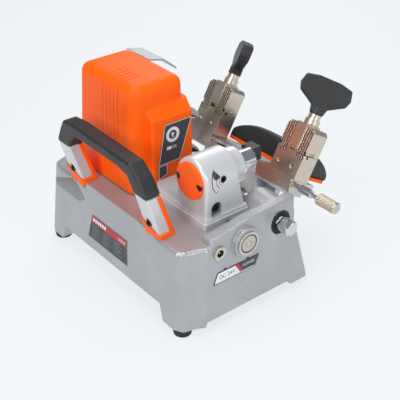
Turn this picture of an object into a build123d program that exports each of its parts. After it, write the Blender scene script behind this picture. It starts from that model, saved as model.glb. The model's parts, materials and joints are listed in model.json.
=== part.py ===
from build123d import *
import os

# Key duplicating machine.
# +Z is up, +X runs along the machine from the tracer side to the cutter side, -Y faces the operator.
# It is drawn about the point midway between the four feet, then stored with its origin on the bench under
# the middle of its outline.
stored_at = (19.5, 33.25)

# Base
base_foot = 9.0
deck_height = 103.0
wall = 5.0
ledge = 8.0
plate_top = 32.0
plate_thickness = 2.5
foot_x = 117.5
foot_y = 76.0
foot_radius = 11.0
long_arch_height = 28.0
end_arch_height = 15.0
trough_floor = 62.0
trough = (-90.0, 28.0)

# Carriage shaft and the two humps that hold it
shaft_y = -44.0
shaft_z = 95.0
shaft_radius = 8.5
shaft_ends = (-150.0, 100.0)
hump_radius = 23.5
hump_rounding = 4.0
near_hump = (-131.0, -90.0)
far_hump = (28.0, 118.0)
bush_radius = 12.0
running_gap = 0.04
seal_radius = 13.5
hub = (-66.0, 18.0)
hub_radius = 19.0
hub_bore = 10.5
rail_back = -58.0

# Tracer head
head_x = -76.0
head_z = 148.0
head_radius = 24.5
head_back = 31.0
head_front = -11.0
head_toe = -20.0
plinth_top = 112.0
cap_radius = 20.5
cap_screw_out = 17.0
collar_radius = 19.0
collar_front = -28.0
tracer_x = -68.0
tracer_end = -48.2
guide_y = -64.0
tracer_radius = 11.0
adjuster_y = 8.0
adjuster_z = 151.6

# Cutter unit
spindle_y = -32.0
spindle_z = 156.0
spindle_radius = 6.0
cutter_x = (63.0, 69.0)
cutter_radius = 32.0
housing_x = (14.0, 56.0)
motor_y = 22.0
motor_z = 160.0
belt_x = (0.5, 8.0)
pulley_radius = 12.0

# Orange cover
cover_bottom = 104.0
cover_top = 226.0
cover_wall = 3.0
groove_depth = 1.1

# Vises, in their own frame (x, n, d): n is normal to the jaw faces and d runs up the jaws
vise_lean = 30.0
vise_x = (-95.0, 39.0)
face_n = -14.0
back_n = -42.0
slab_low = 29.6
slab_high = 43.6
split_d = 71.6
jaw_top = 101.0
jaw_half = 19.5
stud_n = -27.0
rod_n = -19.5
rod_d = 38.5
stud_radius = 3.9
jaw_gap = 0.4

# Carrying handle
grip_y = (77.0, 96.0)
grip_bottom = 153.0
bracket_x = (-77.0, 65.0)

os.makedirs("parts", exist_ok=True)


def block(x0, x1, y0, y1, z0, z1):
    return Pos((x0 + x1) / 2, (y0 + y1) / 2, (z0 + z1) / 2) * Box(x1 - x0, y1 - y0, z1 - z0)


def rod_x(radius, x0, x1, y, z):
    return Pos((x0 + x1) / 2, y, z) * Rot(0, 90, 0) * Cylinder(radius, x1 - x0)


def rod_y(radius, y0, y1, x, z):
    return Pos(x, (y0 + y1) / 2, z) * Rot(90, 0, 0) * Cylinder(radius, y1 - y0)


def rod_z(radius, z0, z1, x, y):
    return Pos(x, y, (z0 + z1) / 2) * Cylinder(radius, z1 - z0)


def outline_face(points, radius=0):
    face = make_face(Polyline(*points, close=True))
    return fillet(face.vertices(), radius) if radius else face


def prism_x(points, x0, x1, radius=0):
    """Outline of (y, z) points carried along X."""
    return extrude(Plane.YZ.offset(x0) * outline_face(points, radius), x1 - x0)


def prism_y(points, y0, y1, radius=0):
    """Outline of (x, z) points carried along Y."""
    plane = Plane(origin=(0, y1, 0), x_dir=(1, 0, 0), z_dir=(0, -1, 0))
    return extrude(plane * outline_face(points, radius), y1 - y0)


def frustum(low, low_z, high, high_z):
    return loft([Plane.XY.offset(low_z) * outline_face(low),
                 Plane.XY.offset(high_z) * outline_face(high)], ruled=True)


def beyond(a, b, c):
    """A large block standing on the plane through three points, on its outer, +Y side."""
    across = Vector(b) - Vector(a)
    normal = across.cross(Vector(c) - Vector(a)).normalized()
    if normal.Y < 0:
        normal = normal * -1
    plane = Plane(origin=a, x_dir=across, z_dir=normal)
    return plane.location * Box(500, 500, 60, align=(Align.CENTER, Align.CENTER, Align.MIN))


def uprights(solid, least):
    """Edges that run mostly up and down and are longer than this."""
    return [e for e in solid.edges() if e.length > least and abs((e @ 1 - e @ 0).Z) > 0.8 * e.length]


def cap_screw(head_radius, head_height, body_radius, length):
    """Socket-head cap screw along Z, with the underside of its head at the origin."""
    socket_depth = head_height * 0.6
    socket = extrude(RegularPolygon(head_radius * 0.55, 6), socket_depth)
    body = Pos(0, 0, -length / 2) * Cylinder(body_radius, length)
    head = Pos(0, 0, head_height / 2) * Cylinder(head_radius, head_height)
    return body + head - Pos(0, 0, head_height - socket_depth) * socket


def save(shape, name):
    solids = shape if isinstance(shape, list) else [shape]
    placed = [Pos(*stored_at, 0) * solid for solid in solids]
    export_step(Compound(children=placed) if len(placed) > 1 else placed[0], "parts/" + name + ".step")


# Base housing: a thin casting with a trough between two humps for the rocking carriage

base_low = [(-118, 88), (-128, 83), (-131, 70), (-137, 59), (-137, -84), (-129, -91),
            (129, -91), (137, -84), (137, 59), (131, 70), (128, 83), (118, 88)]
base_high = [(-116, 83), (-124, 78), (-127, 65), (-132, 55), (-132, -60), (-125, -66),
             (122, -66), (128, -60), (126, 55), (121, 65), (116, 78), (107, 83)]


def drawn_in(outline, amount):
    """The outline with each point moved towards the middle by this much in X and in Y."""
    return [(x - amount * (1 if x > 0 else -1), y - amount * (1 if y > 0 else -1)) for x, y in outline]


def base_solid():
    body = frustum(base_low, base_foot, base_high, deck_height)
    body = fillet(uprights(body, 60), 5)
    body = fillet(body.faces().sort_by(Axis.Z)[-1].edges(), 4)
    panel = prism_x([(56, 80), (50, 110), (0, 117), (-64, 119), (-64, 80)], -132, -118)
    slope = prism_y([(-140, 70), (-133.4, 70), (-130.8, 125), (-140, 125)], -75, 70)
    body += fillet((panel - slope).edges().filter_by(Axis.X, reverse=True), 2)
    for x0, x1 in (near_hump, far_hump):
        hump = rod_x(hump_radius, x0, x1, shaft_y, shaft_z)
        body += fillet(hump.edges().filter_by(GeomType.CIRCLE), hump_rounding)
    body += rod_x(17, -136.5, -125, 5, 92)
    return body


def back_recess():
    """Leaned-in label panel with a slanted facet at each end, and the sloping shoulder above it."""
    label = beyond((0, 86.3, 40), (10, 86.3, 40), (0, 81, 82.5))
    label &= beyond((-86, 83.3, 98), (-49.5, 86.3, 40), (-46, 81, 82.5))
    label &= beyond((66, 83.1, 101), (50, 86.3, 40), (52, 81, 82.5))
    shoulder = beyond((0, 81, 82.5), (10, 81, 82.5), (0, 68, 103))
    shoulder &= beyond((-46, 81, 82.5), (-86, 83.3, 98), (-84, 68, 103))
    shoulder &= beyond((52, 81, 82.5), (66, 83.1, 101), (68, 68, 103))
    return label + shoulder


def base_hollow():
    low = frustum(drawn_in(base_low, wall), 0, drawn_in(base_low, wall + 2), plate_top)
    high = frustum(drawn_in(base_low, wall + ledge), plate_top - 1, drawn_in(base_high, wall + ledge), 78)
    upper = block(-112, 112, -4, 56, 70, 97)
    tray = block(trough[0] - 6, trough[1] + 6, -100, -6, trough_floor - 5, 120)
    posts = [block(sx * 98 - 30, sx * 98 + 30, sy * 82 - 18, sy * 82 + 18, -1, plate_top - plate_thickness)
             for sx in (-1.2, 1.2) for sy in (-1, 1)]
    return low + high + upper - tray - posts


def base_housing():
    body = base_solid() - back_recess() - base_hollow()
    tray_floor = [(-120, 40), (-14, trough_floor), (-14, 140), (-120, 140)]
    body -= prism_x(tray_floor, *trough)
    arch = [(-103, -1), (-93, long_arch_height), (93, long_arch_height), (103, -1)]
    body -= prism_y(arch, 60, 100) + prism_y(arch, -100, -60)
    end_arch = [(-64, -1), (-58, end_arch_height), (58, end_arch_height), (64, -1)]
    body -= prism_x(end_arch, -150, -105) + prism_x(end_arch, 105, 150)
    body -= rod_x(bush_radius, near_hump[0] - 5, near_hump[1] + 5, shaft_y, shaft_z)
    body -= rod_x(bush_radius, far_hump[0] - 5, far_hump[1] - 4, shaft_y, shaft_z)
    body -= rod_x(seal_radius, near_hump[0] - 5, near_hump[0] + 4, shaft_y, shaft_z)
    body -= rod_x(11.2, -140, -100, 5, 92) + rod_x(6.2, -140, -100, 40, 93) + rod_x(7.4, -140, -132, 40, 93)
    body -= [rod_z(2.2, 8, 28, x, y) for x in (-foot_x, foot_x) for y in (-foot_y, foot_y)]
    body -= [rod_z(1.75, plate_top - 2, plate_top + 12, x, y) for x, y in plate_screw_places]
    return body


plate_screw_places = [(x, y) for x in (-70, 0, 70) for y in (-81, 78)]


def bottom_plate():
    outline = drawn_in(base_low, wall + 2.4)
    plate = extrude(Plane.XY.offset(plate_top - plate_thickness) * outline_face(outline), plate_thickness)
    slots = [block(x - 1.5, x + 1.5, -20, 20, 0, 50) for x in range(-45, 46, 9)]
    holes = [rod_z(1.9, 0, 50, x, y) for x, y in plate_screw_places]
    return plate - slots - holes


def plate_screws():
    turned = Rot(180, 0, 0) * cap_screw(3.2, 2.2, 1.7, 10)
    return [Pos(x, y, plate_top - plate_thickness) * turned for x, y in plate_screw_places]


def foot(x, y):
    pad = Cone(foot_radius - 1.5, foot_radius, base_foot, align=(Align.CENTER, Align.CENTER, Align.MIN))
    pad -= Pos(0, 0, -1) * Cylinder(4.6, 5, align=(Align.CENTER, Align.CENTER, Align.MIN))
    pad -= Cylinder(2.3, 30)
    return Pos(x, y, 0) * pad


foot_places = [(x, y) for x in (-foot_x, foot_x) for y in (-foot_y, foot_y)]


def foot_screws():
    turned = Rot(180, 0, 0) * cap_screw(4.2, 2.4, 2.2, 20)
    return [Pos(x, y, 4) * turned for x, y in foot_places]


def shaft_bush(x0, x1):
    return rod_x(bush_radius, x0, x1, shaft_y, shaft_z) - rod_x(shaft_radius + running_gap, x0 - 1, x1 + 1,
                                                                shaft_y, shaft_z)


def shaft_seal(x0, x1, radius):
    return rod_x(radius, x0, x1, shaft_y, shaft_z) - rod_x(shaft_radius + 0.4, x0 - 1, x1 + 1, shaft_y, shaft_z)


def side_label():
    """Thin plate on the leaned-in back panel, held by adhesive."""
    plane = Plane(origin=(0, 86.32, 40), x_dir=(-1, 0, 0), z_dir=(0, 42.5, 5.3))
    outline = [(-36, 31), (30, 31), (34, 2), (-42, 2)]
    return extrude(plane * outline_face(outline), 0.5)


def power_label():
    plane = Plane(origin=(-134.1, 18, 64), x_dir=(0, -1, 0), z_dir=(-94, 0, 5))
    return extrude(plane * outline_face([(-31, -7), (-25, 6), (31, 6), (25, -7)]), 0.5)


# Power button and inlet

def button_ring():
    ring = rod_x(13.4, -138.2, -136.5, 5, 92) + rod_x(11.2, -137, -112, 5, 92)
    return ring - rod_x(9.4, -140, -118, 5, 92) - rod_x(3.0, -125, -110, 5, 92)


def button_cap():
    return rod_x(9.1, -138.0, -122, 5, 92) + rod_x(2.8, -123, -112, 5, 92)


def switch_body():
    return block(-111.4, -98, -2, 12, 85, 96.5) - rod_x(3.2, -112, -109, 5, 92)


def dc_inlet():
    ring = rod_x(7.4, -134.6, -132, 40, 93) + rod_x(6.2, -133.5, -112, 40, 93)
    return ring - rod_x(4.2, -140, -116, 40, 93) + rod_x(1.1, -133, -114, 40, 93)


# Held inside the base

def battery_cells():
    return [rod_x(9.2, -35, 30, 14 + 19 * row, 44 + 19 * level) for row in range(3) for level in range(2)]


def battery_tray():
    return block(-38, 33, 3, 63, 32.2, 34.7)


def control_board():
    return block(-106, -48, -4, 56, 40, 41.6)


# Head, plinth and tracer

head_side = head_x - head_radius


def head_profile(inset):
    r = head_radius - inset
    column = block(head_x - r, head_x + r, head_front, head_back, plinth_top, head_z)
    toe = prism_x([(head_front + 1, head_z), (head_front, head_z), (head_toe, plinth_top),
                   (head_front + 1, plinth_top)], head_x - r, head_x + r)
    return column + toe + rod_y(r, head_front, head_back, head_x, head_z)


def head_plinth():
    low = block(head_x - 29, -15, -24, 36, deck_height, plinth_top - 3)
    high = block(head_x - 27, -15, -23, 34, plinth_top - 3.5, plinth_top)
    body = fillet(uprights(low, 5), 3) + fillet(uprights(high, 3), 2)
    return body - rod_x(hump_radius, *near_hump, shaft_y, shaft_z) - block(trough[0], trough[1], -60, -20, 90, 130)


def head_housing():
    body = head_profile(0)
    body = fillet(body.faces().sort_by(Axis.Y)[-1].edges().filter_by(lambda e: e.center().Z > plinth_top + 1), 3.5)
    foot_block = block(head_x + head_radius - 1, -15, head_toe, 30, plinth_top, plinth_top + 8)
    foot_block = chamfer(foot_block.faces().sort_by(Axis.Z)[-1].edges().sort_by(Axis.X)[-1], 3)
    body += foot_block
    body -= rod_y(tracer_radius + 5, head_front, head_back - 6, head_x, head_z)
    body -= rod_y(tracer_radius + 0.4, head_toe - 1, head_front + 1, head_x, head_z)
    body -= rod_y(cap_radius - 1, head_back - 8, head_back + 1, head_x, head_z)
    body -= rod_x(4.0, head_side - 2, head_x - 8, adjuster_y, adjuster_z)
    body -= block(head_side - 2, head_side + 9, 10, 24, plinth_top - 1, 121)
    body -= rod_x(7, head_side - 2, head_side + 9, 17, 121)
    body -= rod_x(2.6, head_side + 7, head_side + 19, 17, 120)
    return body - rod_x(hump_radius, *near_hump, shaft_y, shaft_z)


def head_cap():
    disc = rod_y(cap_radius, head_back, head_back + 4, head_x, head_z)
    disc = fillet(disc.faces().sort_by(Axis.Y)[-1].edges(), 1.5)
    disc += rod_y(cap_radius - 1.3, head_back - 3, head_back, head_x, head_z)
    for side in (-1, 1):
        disc -= rod_y(4.2, head_back + 1.2, head_back + 5, head_x + side * cap_screw_out, head_z)
        disc -= rod_y(1.8, head_back - 4, head_back + 5, head_x + side * cap_screw_out, head_z)
    return disc


def cap_screws():
    screw = Rot(-90, 0, 0) * cap_screw(3.2, 1.9, 1.7, 5)
    return [Pos(head_x + side * cap_screw_out, head_back + 1.2, head_z) * screw for side in (-1, 1)]


def tracer_bush():
    sleeve = rod_y(tracer_radius + 5, head_front, head_back - 9, head_x, head_z)
    sleeve -= rod_y(tracer_radius + running_gap, head_front - 1, head_back, head_x, head_z)
    return sleeve - rod_x(4.0, head_x - 40, head_x, adjuster_y, adjuster_z)


def tracer_collar():
    ring = rod_y(collar_radius, collar_front, head_front, head_x, head_z)
    ring = fillet(ring.faces().sort_by(Axis.Y)[0].edges(), 2.5)
    return ring - rod_y(tracer_radius + 0.4, collar_front - 1, head_front + 1, head_x, head_z) - head_profile(0)


def tracer_shaft():
    body = rod_y(tracer_radius, tracer_end, head_back - 10, head_x, head_z)
    return body - rod_x(3.6, head_x - 14, head_x - 5.5, adjuster_y, adjuster_z)


def tracer_block():
    body = block(tracer_x - 13, tracer_x + 5, -60.5, tracer_end, 142, 158)
    body = chamfer(body.edges().filter_by(Axis.Y), 1.5)
    return body - rod_y(2.5, -62, -54, tracer_x, head_z) - rod_x(1.8, tracer_x - 14, tracer_x, -55, head_z)


def tracer_guide():
    pin = rod_y(2.5, -61.5, -54, tracer_x, head_z)
    return pin + Pos(tracer_x, (guide_y - 61.5) / 2, head_z) * Rot(90, 0, 0) * Cone(2.5, 1.2, -61.5 - guide_y)


def tracer_set_screw():
    screw = rod_x(1.8, tracer_x - 12.6, tracer_x - 2.6, -55, head_z)
    return screw - rod_x(0.9, tracer_x - 14, tracer_x - 10.5, -55, head_z)


def adjuster():
    """Hex-socket eccentric that shifts the tracer shaft."""
    stem = rod_x(3.94, head_side + 0.5, head_x - 16.4, adjuster_y, adjuster_z)
    tip = rod_x(2.4, head_x - 16.6, head_x - 7, adjuster_y, adjuster_z)
    socket = Pos(head_side, adjuster_y, adjuster_z) * Rot(0, 90, 0) * extrude(RegularPolygon(2.6, 6), 5)
    return stem + tip - socket


def scale_plate():
    """Curved scale strip round the adjuster, following the side of the head."""
    ring = rod_x(15.5, head_side - 2, head_x - 10, adjuster_y, adjuster_z)
    ring -= rod_x(6, head_side - 3, head_x - 9, adjuster_y, adjuster_z)
    sector = prism_x([(adjuster_y, adjuster_z), (adjuster_y + 17, adjuster_z + 21),
                      (adjuster_y + 40, adjuster_z), (adjuster_y + 17, adjuster_z - 21)],
                     head_side - 2, head_x - 10)
    return ring & sector & (head_profile(-0.4) - head_profile(0))


def head_bolt():
    return Pos(head_side + 7, 17, 120) * Rot(0, -90, 0) * cap_screw(4.4, 5, 2.5, 11)


# Cutter unit

def cover_solid(inset):
    """Outer form of the cover, or the same form drawn in all round."""
    i = inset
    low = [(-6 + i, -20 + i), (105 - i, -20 + i), (105 - i, 55 - i), (-6 + i, 55 - i)]
    high = [(-4 + i, -18 + i), (98 - i, -18 + i), (98 - i, 50 - i), (-4 + i, 50 - i)]
    body = frustum(low, cover_bottom, high, cover_top - i)
    body = fillet(uprights(body, 60), 12 - i)
    body = fillet(body.faces().sort_by(Axis.Z)[-1].edges(), 11 - i)
    nose_side = [(10, cover_bottom), (-14 + i, cover_bottom), (-13.5 + i, 188 - i), (-4, 200 - i), (10, 200 - i)]
    nose = prism_y(nose_side, -21 + i, 33 - i)
    nose = fillet(nose.edges().filter_by(lambda e: e.center().X < -6 and e.length < 100
                                         and abs((e @ 1 - e @ 0).Y) < 1), max(3 - i, 0.5))
    return body + nose


def motor_cover():
    body = cover_solid(0)
    band = body - cover_solid(groove_depth)
    grooves = [block(x - 0.8, x + 0.8, 20, 60, 118, 230) for x in (22, 29, 36, 43, 50)]
    for groove in grooves:
        body -= groove & band
    body -= cover_solid(cover_wall)
    body -= block(-30, 120, -40, 60, cover_bottom - 5, cover_bottom + 0.3)
    window = block(housing_x[0] - 18, housing_x[1] + 3, -30, -10, 126, 186)
    cutter_slot = block(cutter_x[0] - 2.5, cutter_x[1] + 3, -30, -10, 118, 194)
    return body - window - cutter_slot - rod_x(hump_radius + 0.2, *far_hump, shaft_y, shaft_z)


def nameplate():
    plane = Plane(origin=(-14.02, 0, 104), x_dir=(0, -1, 0), z_dir=(-84, 0, 0.5))
    upper = outline_face([(-17, 77), (19, 77), (2, 31), (-26, 31)])
    lower = outline_face([(-15, 30), (-26, 30), (-27, 14), (-15, 18)])
    return [extrude(plane * upper, 0.6), extrude(plane * lower, 0.6)]


def chip_guard():
    """Bent sheet over the cutter, fixed to the operator side of the cover."""
    return prism_x([(-18.8, 192), (-18.8, 221), (-40, 216), (-58, 201), (-56.5, 199.5), (-39.5, 214.2),
                    (-20.4, 218.8), (-20.4, 192)], 62, 104)


def spindle_housing():
    body = rod_x(20, housing_x[0], housing_x[1], spindle_y, spindle_z)
    body += block(30, 54, -50, -22, deck_height, spindle_z)
    body -= rod_x(hump_radius, *far_hump, shaft_y, shaft_z)
    body -= rod_x(13, housing_x[0] - 1, housing_x[0] + 11, spindle_y, spindle_z)
    body -= rod_x(13, housing_x[1] - 11, housing_x[1] + 1, spindle_y, spindle_z)
    return body - rod_x(9, housing_x[0] - 1, housing_x[1] + 1, spindle_y, spindle_z)


def bearing(x0, x1):
    outer = rod_x(13, x0, x1, spindle_y, spindle_z) - rod_x(11, x0 - 1, x1 + 1, spindle_y, spindle_z)
    return outer + (rod_x(11.2, x0 + 1, x1 - 1, spindle_y, spindle_z)
                    - rod_x(spindle_radius + running_gap, x0 - 1, x1 + 1, spindle_y, spindle_z))


def spindle():
    shaft = rod_x(spindle_radius, belt_x[0] - 2, cutter_x[0] - 2.5, spindle_y, spindle_z)
    shaft += rod_x(9, housing_x[1] + 1.5, cutter_x[0], spindle_y, spindle_z)
    return shaft + rod_x(5, cutter_x[0] - 1, cutter_x[1] + 11, spindle_y, spindle_z)


def cutter_wheel():
    """Side-milling cutter: a disc with raked teeth round its rim."""
    disc = rod_x(cutter_radius, *cutter_x, spindle_y, spindle_z)
    teeth = 40
    notch = prism_x([(0, cutter_radius - 2.2), (2.6, cutter_radius + 1), (0, cutter_radius + 1)],
                    cutter_x[0] - 1, cutter_x[1] + 1)
    notches = [Pos(0, spindle_y, spindle_z) * Rot(360 * i / teeth, 0, 0) * notch for i in range(teeth)]
    disc -= notches
    disc -= rod_x(5, cutter_x[0] - 1, cutter_x[1] + 1, spindle_y, spindle_z)
    return disc - (rod_x(24, cutter_x[1] - 1, cutter_x[1] + 1, spindle_y, spindle_z)
                   - rod_x(12, cutter_x[1] - 2, cutter_x[1] + 2, spindle_y, spindle_z))


def cutter_nut():
    washer = rod_x(10, cutter_x[1], cutter_x[1] + 2, spindle_y, spindle_z)
    hexagon = extrude(Plane.YZ.offset(cutter_x[1] + 2) * Pos(spindle_y, spindle_z) * RegularPolygon(9, 6), 7)
    return washer + hexagon - rod_x(5, cutter_x[0], cutter_x[1] + 20, spindle_y, spindle_z)


def pulley(y, z, bore):
    body = rod_x(pulley_radius, *belt_x, y, z)
    body += rod_x(pulley_radius + 1.5, belt_x[0] - 1.2, belt_x[0], y, z)
    body += rod_x(pulley_radius + 1.5, belt_x[1], belt_x[1] + 1.2, y, z)
    return body - rod_x(bore, belt_x[0] - 3, belt_x[1] + 3, y, z)


def drive_belt():
    """Belt round the two pulleys, clear of them by a hair."""
    inner = pulley_radius + 0.3
    outer = inner + 1.6

    def stadium(radius, x0, x1):
        run = Vector(0, motor_y - spindle_y, motor_z - spindle_z)
        plane = Plane(origin=(x0, (spindle_y + motor_y) / 2, (spindle_z + motor_z) / 2),
                      x_dir=run, z_dir=(1, 0, 0))
        return extrude(plane * SlotCenterToCenter(run.length, 2 * radius), x1 - x0)

    return stadium(outer, belt_x[0] + 0.5, belt_x[1] - 0.5) - stadium(inner, belt_x[0], belt_x[1])


def motor():
    can = rod_x(19, 16, 74, motor_y, motor_z)
    boss = rod_x(7, 13, 16, motor_y, motor_z) + rod_x(9, 74, 80, motor_y, motor_z)
    return can + boss - rod_x(2.5 + running_gap, 10, 76, motor_y, motor_z)


def motor_shaft():
    return rod_x(2.5, belt_x[0] - 1.5, 75, motor_y, motor_z)


def motor_bracket():
    """Angle bracket: an upright plate at the motor's front and a foot on the deck."""
    plate = block(10.6, 14.4, 1, 43, deck_height, motor_z + 20)
    foot_plate = block(10.6, 60, 4, 40, deck_height, deck_height + 4)
    cradle = block(24, 66, 10, 34, deck_height, motor_z - 14) - rod_x(19.0, 20, 70, motor_y, motor_z)
    return plate + foot_plate + cradle - rod_x(7.3, 8, 16, motor_y, motor_z)


# Carrying handle

def bracket_form(x, grow):
    """Leg that leans outwards as it rises from the shoulder to the grip."""
    low = [(x - 12 - grow, 56 - grow), (x + 12 + grow, 56 - grow),
           (x + 12 + grow, 75 + grow), (x - 12 - grow, 75 + grow)]
    high = [(x - 11 - grow, 79 - grow), (x + 11 + grow, 79 - grow),
            (x + 11 + grow, 95 + grow), (x - 11 - grow, 95 + grow)]
    return frustum(low, 84, high, grip_bottom)


def below_foot_line(x):
    """Everything under the slanted line where the orange trim meets the leg."""
    return prism_y([(x - 30, 60), (x + 30, 60), (x + 30, 129), (x - 30, 99)], 20, 120)


def bracket(x):
    body = fillet(uprights(bracket_form(x, 0), 30), 2.5)
    body &= block(x - 30, x + 30, 20, 100, deck_height - 3, 200)
    return body - below_foot_line(x) - base_trimmed - bracket_screw_hole(x)


def bracket_trim(x):
    """Orange band under the leg's slanted foot and up its inner edge."""
    band = fillet(uprights(bracket_form(x, 1.6), 30), 3.5)
    inner_edge = beyond((x, 60.5, 84), (x + 10, 60.5, 84), (x, 83, grip_bottom))
    kept = (band & below_foot_line(x)) + (band - inner_edge - bracket_form(x, 0.02))
    kept -= block(x - 30, x + 30, 20, 100, 60, 96)
    return kept - base_trimmed


def bracket_screw_hole(x):
    return Pos(x, 86, 120) * Rot(-70, 0, 0) * (Pos(0, 0, 1) * Cylinder(4.4, 8) + Cylinder(2.2, 30))


def bracket_screw(x):
    return Pos(x, 86, 120) * Rot(-70, 0, 0) * Pos(0, 0, -3) * cap_screw(3.9, 2.6, 2.1, 8)


def handle_grip():
    profile = [(-90, grip_bottom), (-76, 171), (-60, 183), (40, 184.5), (62, 182), (68, 172), (77, grip_bottom),
               (53, grip_bottom), (48, 163), (40, 171.5), (-40, 171), (-56, 167), (-66, grip_bottom)]
    body = prism_y(profile, *grip_y, radius=3)
    return fillet(body.edges().filter_by(lambda e: abs(e.center().Y - sum(grip_y) / 2) > 9.4), 3)


# Carriage, in the vises' frame

def carriage_shaft():
    rod = rod_x(shaft_radius, *shaft_ends, shaft_y, shaft_z)
    rod = chamfer(rod.edges().filter_by(GeomType.CIRCLE), 1)
    flat = block(shaft_ends[0] - 1, shaft_ends[0] + 16, -20, 20, shaft_radius - 1.8, 20)
    return rod - Pos(0, shaft_y, shaft_z) * Rot(-35, 0, 0) * flat


vise_plane = Plane(origin=(0, shaft_y, shaft_z), x_dir=(1, 0, 0),
                   z_dir=Vector(0, 0, 1).rotate(Axis.X, vise_lean))


def leaned(shape, x=0):
    return vise_plane.location * Pos(x, 0, 0) * shape


def carriage_casting():
    """Hub on the shaft, two arms that fan out under the vises, and a rail behind them."""
    body = rod_x(hub_radius, *hub, 0, 0)
    for arm, fan in ((-66, -84), (0, 40)):
        body += block(arm, arm + 18, -40, -15.5, 0, slab_low)
        low, high = sorted((arm + 9, fan))
        body += block(low, high, -40, -31, 15, slab_low)
    for x in vise_x:
        body += block(x - 18, x + 32, -40, -15.5, slab_low - 4, slab_low)
    body += block(vise_x[0] - 15, vise_x[1] + 32, rail_back, back_n, slab_low - 1, slab_high - 2)
    body += block(hub[0], hub[1], rail_back, -38, slab_low - 4, slab_low)
    return body - rod_x(hub_bore, hub[0] - 1, hub[1] + 1, 0, 0)


def hub_bush(x0, x1):
    return rod_x(hub_bore, x0, x1, 0, 0) - rod_x(shaft_radius + running_gap, x0 - 1, x1 + 1, 0, 0)


def vise_slab():
    outline = [(-20, slab_low), (-16, slab_high), (38, slab_high), (34, slab_low)]
    body = prism_y(outline, back_n, face_n)
    return body - rod_x(3.1, -25, 45, rod_n, rod_d)


def grooves(low, high):
    cuts = []
    for side in (-1, 1):
        for i in range(4):
            x = side * (8.6 + 3.0 * i)
            cuts.append(block(x - 0.65, x + 0.65, face_n - 2.4, face_n + 1, low, high))
    return cuts


def lower_jaw():
    top = split_d - jaw_gap / 2
    body = block(-jaw_half, jaw_half, back_n + 4, face_n, slab_high, top)
    body -= grooves(top - 6, top + 1)
    body -= block(-jaw_half - 1, jaw_half + 1, back_n, face_n - 5, top - 3, top + 1) & block(
        -jaw_half - 1, jaw_half + 1, -22, -19, top - 3, top + 1)
    for x in (-9, 10):
        body -= rod_y(2.6, face_n - 1.2, face_n + 1, x, slab_high + 12)
    return body - Pos(0, stud_n, 60) * Cylinder(stud_radius + 0.02, 60)


def upper_jaw():
    low = split_d + jaw_gap / 2
    body = block(-jaw_half, jaw_half, back_n + 4, face_n, low, jaw_top)
    body = chamfer(body.faces().sort_by(Axis.Z)[-1].edges().filter_by(Axis.Y), 4)
    body += block(-7, 7, stud_n - 9, face_n + 1.4, low + 3, jaw_top + 2)
    body -= grooves(low - 1, jaw_top + 3)
    body -= block(-3.5, 3.5, -22, face_n + 2, low - 1, low + 4)
    for side in (-1, 1):
        body -= block(side * jaw_half - 3, side * jaw_half + 3, -30, face_n + 2, low - 1, low + 4)
    return body - Pos(0, stud_n, 85) * Cylinder(stud_radius + 0.06, 80)


def vise_stud():
    top = jaw_top + 30
    return Pos(0, stud_n, (slab_high + top) / 2) * Cylinder(stud_radius, top - slab_high)


def clamp_nut():
    ring = Pos(0, stud_n, jaw_top + 5.3) * Cylinder(8.5, 6)
    ring += Pos(0, stud_n, jaw_top + 11.35) * Cylinder(7.0, 6.1)
    return ring - Pos(0, stud_n, jaw_top) * Cylinder(stud_radius + 0.06, 60)


def wing_knob(turn):
    """Wing grip: a narrow neck that opens into two broad ears with a shallow dip between them."""
    ears = [(-7, 0), (7, 0), (9, 8), (26, 18), (29, 26), (26, 37), (12, 40), (-12, 40), (-26, 37),
            (-29, 26), (-26, 18), (-9, 8)]
    wing = fillet(outline_face(ears).vertices(), 3)
    body = extrude(Plane.XZ.offset(-6.5) * wing, 13)
    body = fillet(body.edges().filter_by(lambda e: abs(abs(e.center().Y) - 6.5) < 0.01), 2.5)
    body += Pos(0, 0, 4) * Cylinder(7.6, 8)
    body -= Cylinder(stud_radius + 0.06, 2 * 20)
    return Pos(0, stud_n, jaw_top + 14.4) * Rot(0, 0, turn) * body


def stop_rod():
    """Key stop: a rod through the slab with a collar outside it."""
    rod = rod_x(3.0, -40, 30, rod_n, rod_d) + rod_x(2.5, -60, -40, rod_n, rod_d)
    return rod + rod_x(4.5, -45, -29, rod_n, rod_d)


def knurled_knob():
    knob = rod_x(6.5, -81, -55, rod_n, rod_d)
    knob = chamfer(knob.edges().filter_by(GeomType.CIRCLE), 0.8)
    return knob - rod_x(2.5, -60, -54, rod_n, rod_d)


def feed_profile(low, high, grow=0):
    """Palm rest outline in (x, d): level along its length, falling away at the cutter end."""
    return [(-100 - grow, low), (-100 - grow, high - 8), (-92, high), (-6, high), (28 + grow, high - 16),
            (28 + grow, low)]


def feed_pad():
    """Palm rest whose top falls away from the vises."""
    body = prism_y(feed_profile(48, 74), -88, -49, radius=2)
    crown = prism_x([(-49, 76), (-56, 75), (-72, 70), (-89, 58), (-89, 90), (-49, 90)], -120, 40)
    return body - crown


def feed_trim():
    return fillet(uprights(block(-101, 29, -85, -49, 44.2, 48), 2), 4)


def feed_bracket():
    body = block(-84, 12, rail_back - 3, -50, slab_high - 2, 44.2)
    for x in (-72, 0):
        body += block(x - 9, x + 9, -76, rail_back, 38, 44.2) + block(x - 9, x + 9, rail_back - 6, rail_back, 31, 40)
    return body


base_trimmed = base_solid() - back_recess()

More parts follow.
